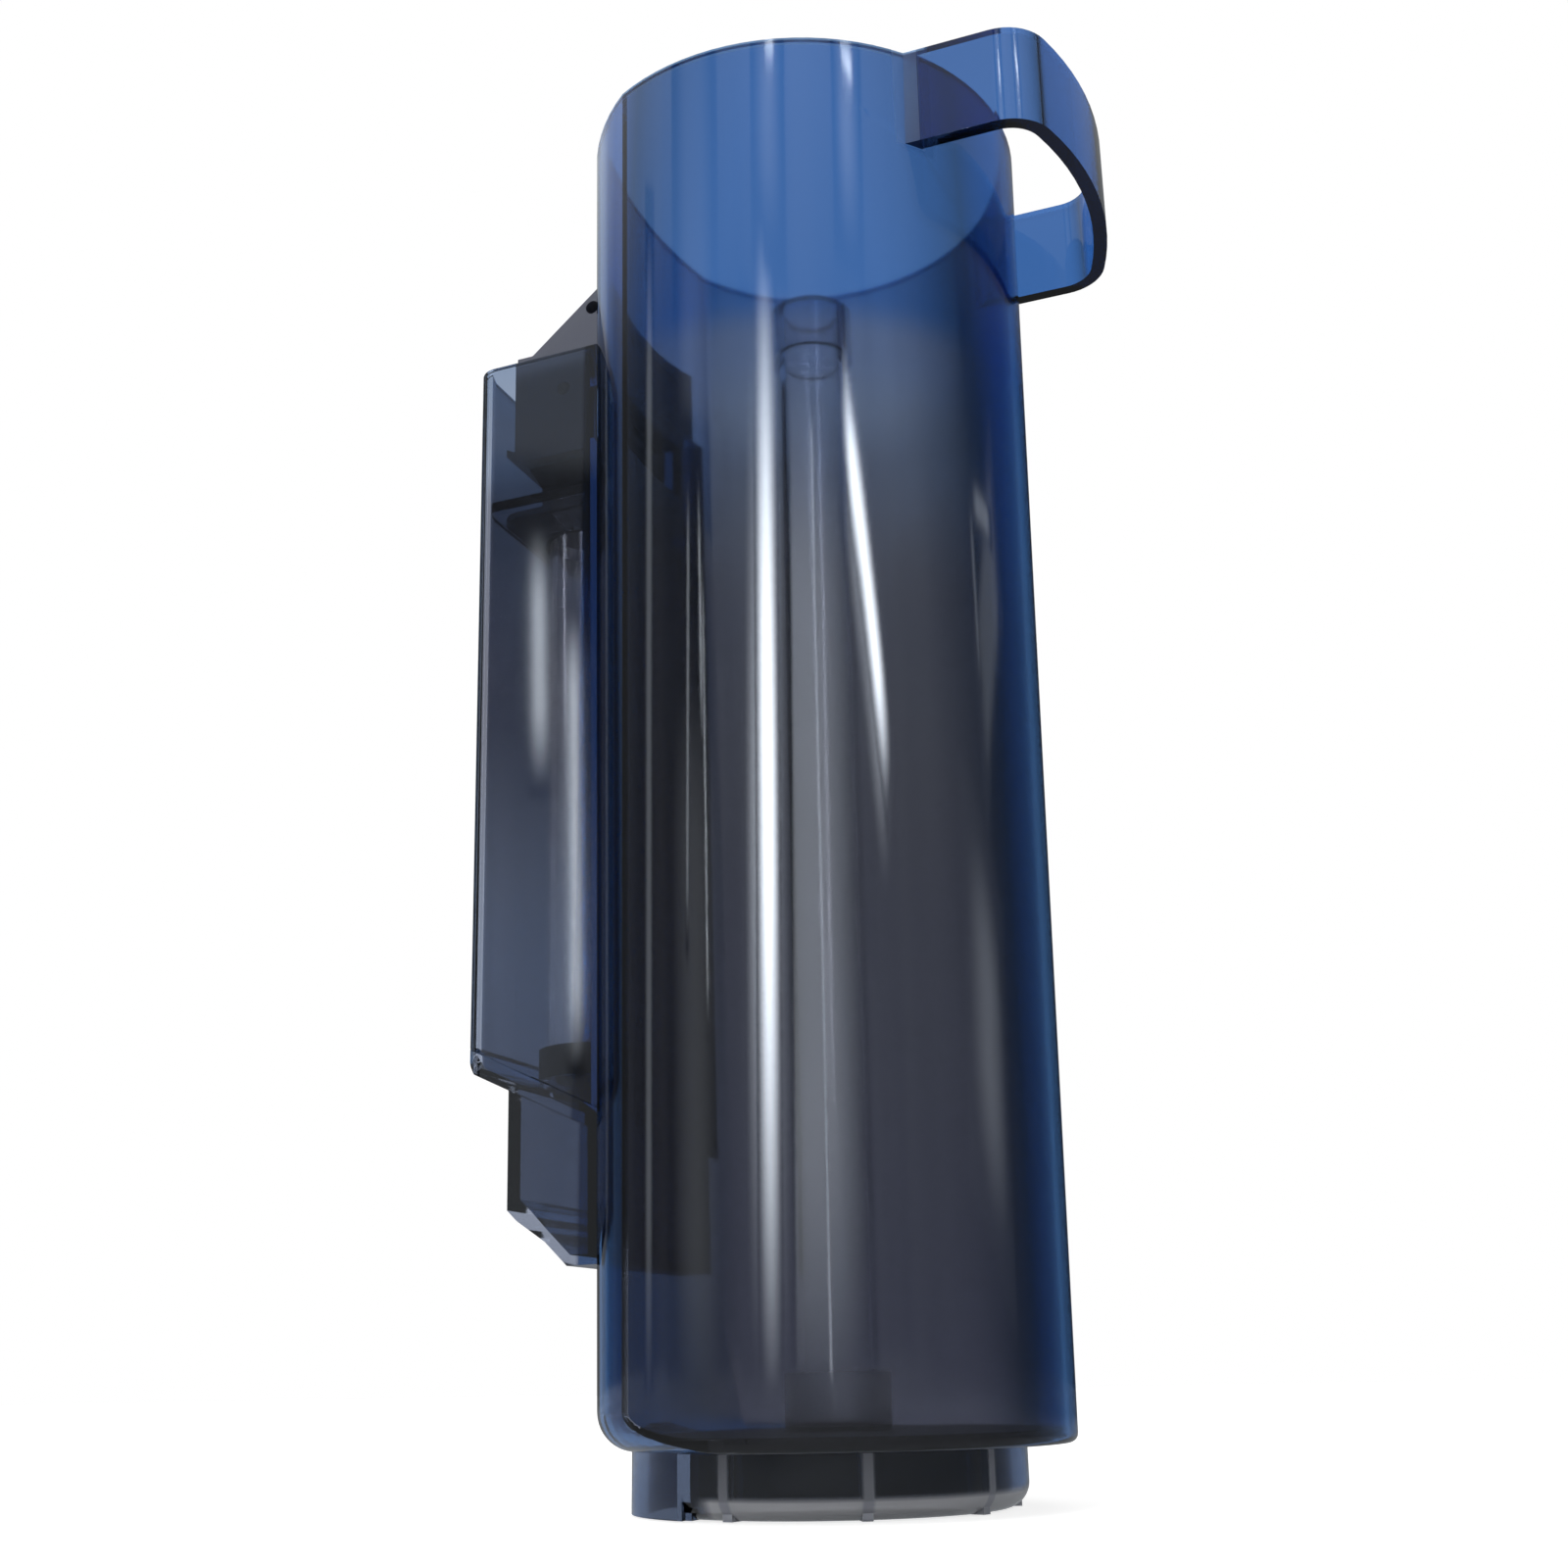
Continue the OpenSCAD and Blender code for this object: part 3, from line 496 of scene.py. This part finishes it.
def dark_surround():
    """The unlit room and table top round the object, which the clear plastic reflects:
    lighter towards the ceiling, darkest beside the handle."""
    material, nodes, links, shader = new_material("room_dark")
    shader.inputs["Base Color"].default_value = (0, 0, 0, 1)
    shader.inputs["Specular IOR Level"].default_value = 0.0
    shader.inputs["Emission Color"].default_value = (0.92, 0.96, 1.0, 1)
    bands = object_noise(nodes, links, 1.1, 2, (1, 1, 0.12))
    place = nodes.new("ShaderNodeTexCoord")
    axes = nodes.new("ShaderNodeSeparateXYZ")
    links.new(place.outputs["Object"], axes.inputs[0])
    low = spread(nodes, links, bands.outputs["Fac"], 0.03, 0.45, 0.38, 0.75)
    high = spread(nodes, links, axes.outputs["Z"], 0.0, 0.8, ROOM_MIDDLE + 0.3, ROOM_MIDDLE + 0.9)
    both = nodes.new("ShaderNodeMath")
    both.operation = "ADD"
    aside = nodes.new("ShaderNodeVectorMath")
    aside.operation = "DOT_PRODUCT"
    aside.inputs[1].default_value = (cos(radians(55)), sin(radians(55)), 0)
    links.new(place.outputs["Object"], aside.inputs[0])
    shade = spread(nodes, links, aside.outputs["Value"], 1.0, 0.07, -0.3, 1.5)
    dim = nodes.new("ShaderNodeMath")
    dim.operation = "MULTIPLY"
    links.new(low, dim.inputs[0])
    links.new(shade, dim.inputs[1])
    links.new(dim.outputs[0], both.inputs[0])
    dim_high = nodes.new("ShaderNodeMath")
    dim_high.operation = "MULTIPLY"
    links.new(high, dim_high.inputs[0])
    links.new(spread(nodes, links, aside.outputs["Value"], 1.0, 0.35, -0.3, 1.5),
              dim_high.inputs[1])
    links.new(dim_high.outputs[0], both.inputs[1])
    links.new(both.outputs[0], shader.inputs["Emission Strength"])
    bpy.ops.object.select_all(action="DESELECT")
    bpy.ops.mesh.primitive_cylinder_add(vertices=96, radius=2.4, depth=2.6,
                                        end_fill_type="NOTHING", location=(0, 0, 1.2))
    room = bpy.context.object
    bpy.ops.object.transform_apply(location=True)
    room.name = "room"
    room.data.materials.append(material)
    show_only(room, glossy=True)
    bpy.ops.object.select_all(action="DESELECT")
    bpy.ops.mesh.primitive_circle_add(vertices=96, radius=2.4, fill_type="NGON",
                                      location=(0, 0, -0.0001))
    table = bpy.context.object
    table.name = "table_top"
    top, nodes, links, shader = new_material("table_dark")
    shader.inputs["Base Color"].default_value = (0, 0, 0, 1)
    shader.inputs["Specular IOR Level"].default_value = 0.0
    shader.inputs["Emission Color"].default_value = (0.9, 0.95, 1.0, 1)
    grain = object_noise(nodes, links, 3.0, 2)
    place = nodes.new("ShaderNodeTexCoord")
    aside = nodes.new("ShaderNodeVectorMath")
    aside.operation = "DOT_PRODUCT"
    aside.inputs[1].default_value = (cos(radians(55)), sin(radians(55)), 0)
    links.new(place.outputs["Object"], aside.inputs[0])
    dim = nodes.new("ShaderNodeMath")
    dim.operation = "MULTIPLY"
    links.new(spread(nodes, links, grain.outputs["Fac"], 0.2, 0.6, 0.3, 0.7), dim.inputs[0])
    links.new(spread(nodes, links, aside.outputs["Value"], 1.0, 0.15, -0.1, 0.6), dim.inputs[1])
    links.new(dim.outputs[0], shader.inputs["Emission Strength"])
    table.data.materials.append(top)
    show_only(table, glossy=True)


def soft_panel(name, low, high, width, radiance, ends=0.3, sides=0.5, distance=1.0, inner=False):
    """Lamp with soft edges from low to high, each an (azimuth, height) round the tank.
    It shows in reflections, or where inner is true on what stands inside clear plastic."""
    start, end = on_ring(*low, distance), on_ring(*high, distance)
    middle = (start + end) / 2
    along = (end - start).normalized()
    facing = Vector((0, 0, 0.12)) - middle
    facing = (facing - along * facing.dot(along)).normalized()
    across = along.cross(facing)
    bpy.ops.object.select_all(action="DESELECT")
    bpy.ops.mesh.primitive_plane_add(size=1)
    panel = bpy.context.object
    panel.name = name
    length = (end - start).length
    panel.matrix_world = Matrix((
        (across.x * width, along.x * length, facing.x, middle.x),
        (across.y * width, along.y * length, facing.y, middle.y),
        (across.z * width, along.z * length, facing.z, middle.z),
        (0, 0, 0, 1)))
    material, nodes, links, shader = new_material(name + "_glow")
    shader.inputs["Base Color"].default_value = (0, 0, 0, 1)
    shader.inputs["Specular IOR Level"].default_value = 0.0
    shader.inputs["Emission Color"].default_value = (0.84, 0.91, 1.0, 1)
    place = nodes.new("ShaderNodeTexCoord")
    axes = nodes.new("ShaderNodeSeparateXYZ")
    links.new(place.outputs["Object"], axes.inputs[0])
    strength = None
    for axis, soft in (("X", sides), ("Y", ends)):
        off = nodes.new("ShaderNodeMath")
        off.operation = "ABSOLUTE"
        links.new(axes.outputs[axis], off.inputs[0])
        fade = nodes.new("ShaderNodeMapRange")
        fade.interpolation_type = "SMOOTHSTEP"
        fade.inputs["From Min"].default_value = 0.5
        fade.inputs["From Max"].default_value = 0.5 - soft
        links.new(off.outputs[0], fade.inputs["Value"])
        if strength is None:
            fade.inputs["To Max"].default_value = radiance
            strength = fade.outputs["Result"]
        else:
            both = nodes.new("ShaderNodeMath")
            both.operation = "MULTIPLY"
            links.new(strength, both.inputs[0])
            links.new(fade.outputs["Result"], both.inputs[1])
            strength = both.outputs[0]
    least = nodes.new("ShaderNodeMath")
    least.operation = "MAXIMUM"
    least.inputs[1].default_value = 0.12
    links.new(strength, least.inputs[0])
    links.new(least.outputs[0], shader.inputs["Emission Strength"])
    panel.data.materials.append(material)
    show_only(panel, glossy=not inner, transmission=inner)


def pipe_lamp(name, low, high, width, radiance, nodes_lit):
    """Narrow lamp whose gleam falls on pipes only, past the clear walls round them."""
    start, end = on_ring(*low, 1.0), on_ring(*high, 1.0)
    middle = (start + end) / 2
    along = (end - start).normalized()
    backward = middle - Vector((0, 0, 0.12))
    backward = (backward - along * backward.dot(along)).normalized()
    across = along.cross(backward)
    data = bpy.data.lights.new(name, "AREA")
    data.shape = "RECTANGLE"
    data.size, data.size_y = width, (end - start).length
    data.energy = radiance * pi * data.size * data.size_y
    lamp = bpy.data.objects.new(name, data)
    bpy.context.collection.objects.link(lamp)
    lamp.matrix_world = Matrix((
        (across.x, along.x, backward.x, middle.x),
        (across.y, along.y, backward.y, middle.y),
        (across.z, along.z, backward.z, middle.z),
        (0, 0, 0, 1)))
    show_only(lamp, glossy=True)
    lit = bpy.data.collections.new(name + "_lit")
    for node in nodes_lit:
        lit.objects.link(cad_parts[node])
    shading = bpy.data.collections.new(name + "_shading")
    shading.objects.link(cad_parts["coupling_gasket"])
    lamp.light_linking.receiver_collection = lit
    lamp.light_linking.blocker_collection = shading


def key_light():
    """Broad soft light for the opaque pieces and the floor."""
    data = bpy.data.lights.new("key", "AREA")
    data.shape = "RECTANGLE"
    data.size, data.size_y = 0.9, 0.9
    data.energy = 9
    light = bpy.data.objects.new("key", data)
    bpy.context.collection.objects.link(light)
    light.location = (-0.35, -0.9, 1.1)
    light.rotation_euler = (Vector((0, 0, 0.1)) - light.location).to_track_quat("-Z", "Y").to_euler()
    show_only(light, diffuse=True, shadow=True)


make_ground()
make_world()
dark_surround()
key_light()
soft_panel("wide_glow", (-72, -0.10), (-72, 0.92), 1.30, 3.8, 0.3, 0.45, 1.3)
soft_panel("upper_haze", (-72, 0.50), (-70, 0.80), 1.7, 1.4, 0.35, 0.4, 1.35)
soft_panel("streak_flank", (-94.0, -0.06), (-86.5, 0.86), 0.50, 4.5, 0.3, 0.5, 1.15)
soft_panel("streak_shoulder", (-96.0, -0.05), (-89.0, 0.84), 0.30, 10, 0.5, 0.5, 1.1)
soft_panel("streak_core", (-92.3, -0.04), (-85.1, 0.86), 0.20, 50, 0.5, 0.5)
soft_panel("slant_flank", (-50.0, 0.74), (-32.5, 0.37), 0.22, 6, 0.3, 0.5, 1.1)
soft_panel("slant_streak", (-50.5, 0.72), (-32.5, 0.39), 0.11, 42, 0.3, 0.5)
soft_panel("thin_line", (-66.5, -0.05), (-65.0, 0.74), 0.03, 8, 0.05, 0.4, 1.1)
soft_panel("left_line", (-129.0, 0.28), (-126.0, 0.64), 0.03, 5, 0.2, 0.4)
soft_panel("left_glow", (-126.0, -0.10), (-124.0, 0.62), 0.70, 1.1, 0.3, 0.5, 1.25)
soft_panel("left_band", (-152.0, -0.05), (-148.0, 0.90), 0.10, 2.0, 0.2, 0.5)
soft_panel("edge_band", (175.0, -0.05), (178.0, 0.90), 0.14, 0.9, 0.2, 0.5)
soft_panel("column_glow", (-122.0, 0.67), (-121.0, 1.05), 0.45, 0.8, 0.1, 0.4)
soft_panel("column_line", (-120.6, 0.64), (-120.2, 0.42), 0.018, 13, 0.35, 0.45)
soft_panel("column_line_low", (-118.9, 0.57), (-118.5, 0.22), 0.012, 16, 0.2, 0.45)
soft_panel("side_glow", (13.0, 0.08), (17.0, 0.38), 0.45, 1.6, 0.4, 0.5)
soft_panel("rim_glint_left", (-84.5, 1.00), (-79.0, 1.01), 0.04, 22)
soft_panel("rim_glint_right", (-46.5, 1.0), (-39.5, 0.98), 0.04, 26)
soft_panel("upper_band_left", (-83.5, 0.80), (-81.5, 1.25), 0.30, 1.8)
soft_panel("upper_band_right", (-44.5, 0.80), (-42.0, 1.25), 0.26, 2.2)
soft_panel("window_glow", (30.0, 0.47), (26.0, 0.64), 0.42, 0.8, 0.3, 0.3, 1.05)
soft_panel("window_left", (20.0, 0.47), (18.0, 0.63), 0.04, 1.4, 0.3, 0.4)
soft_panel("window_top", (19.0, 0.625), (34.0, 0.605), 0.035, 2, 0.3, 0.4)
pipe_lamp("standpipe_lamp", (-62.0, 0.20), (-50.0, 0.70), 0.12, 200, ["standpipe"])
pipe_lamp("rear_pipe_lamp", (-68.0, 0.22), (-88.0, 0.56), 0.07, 700, ["rear_pipe"])
pipe_lamp("rear_side_lamp", (-134.0, 0.48), (-145.0, 0.64), 0.06, 800, ["rear_pipe"])
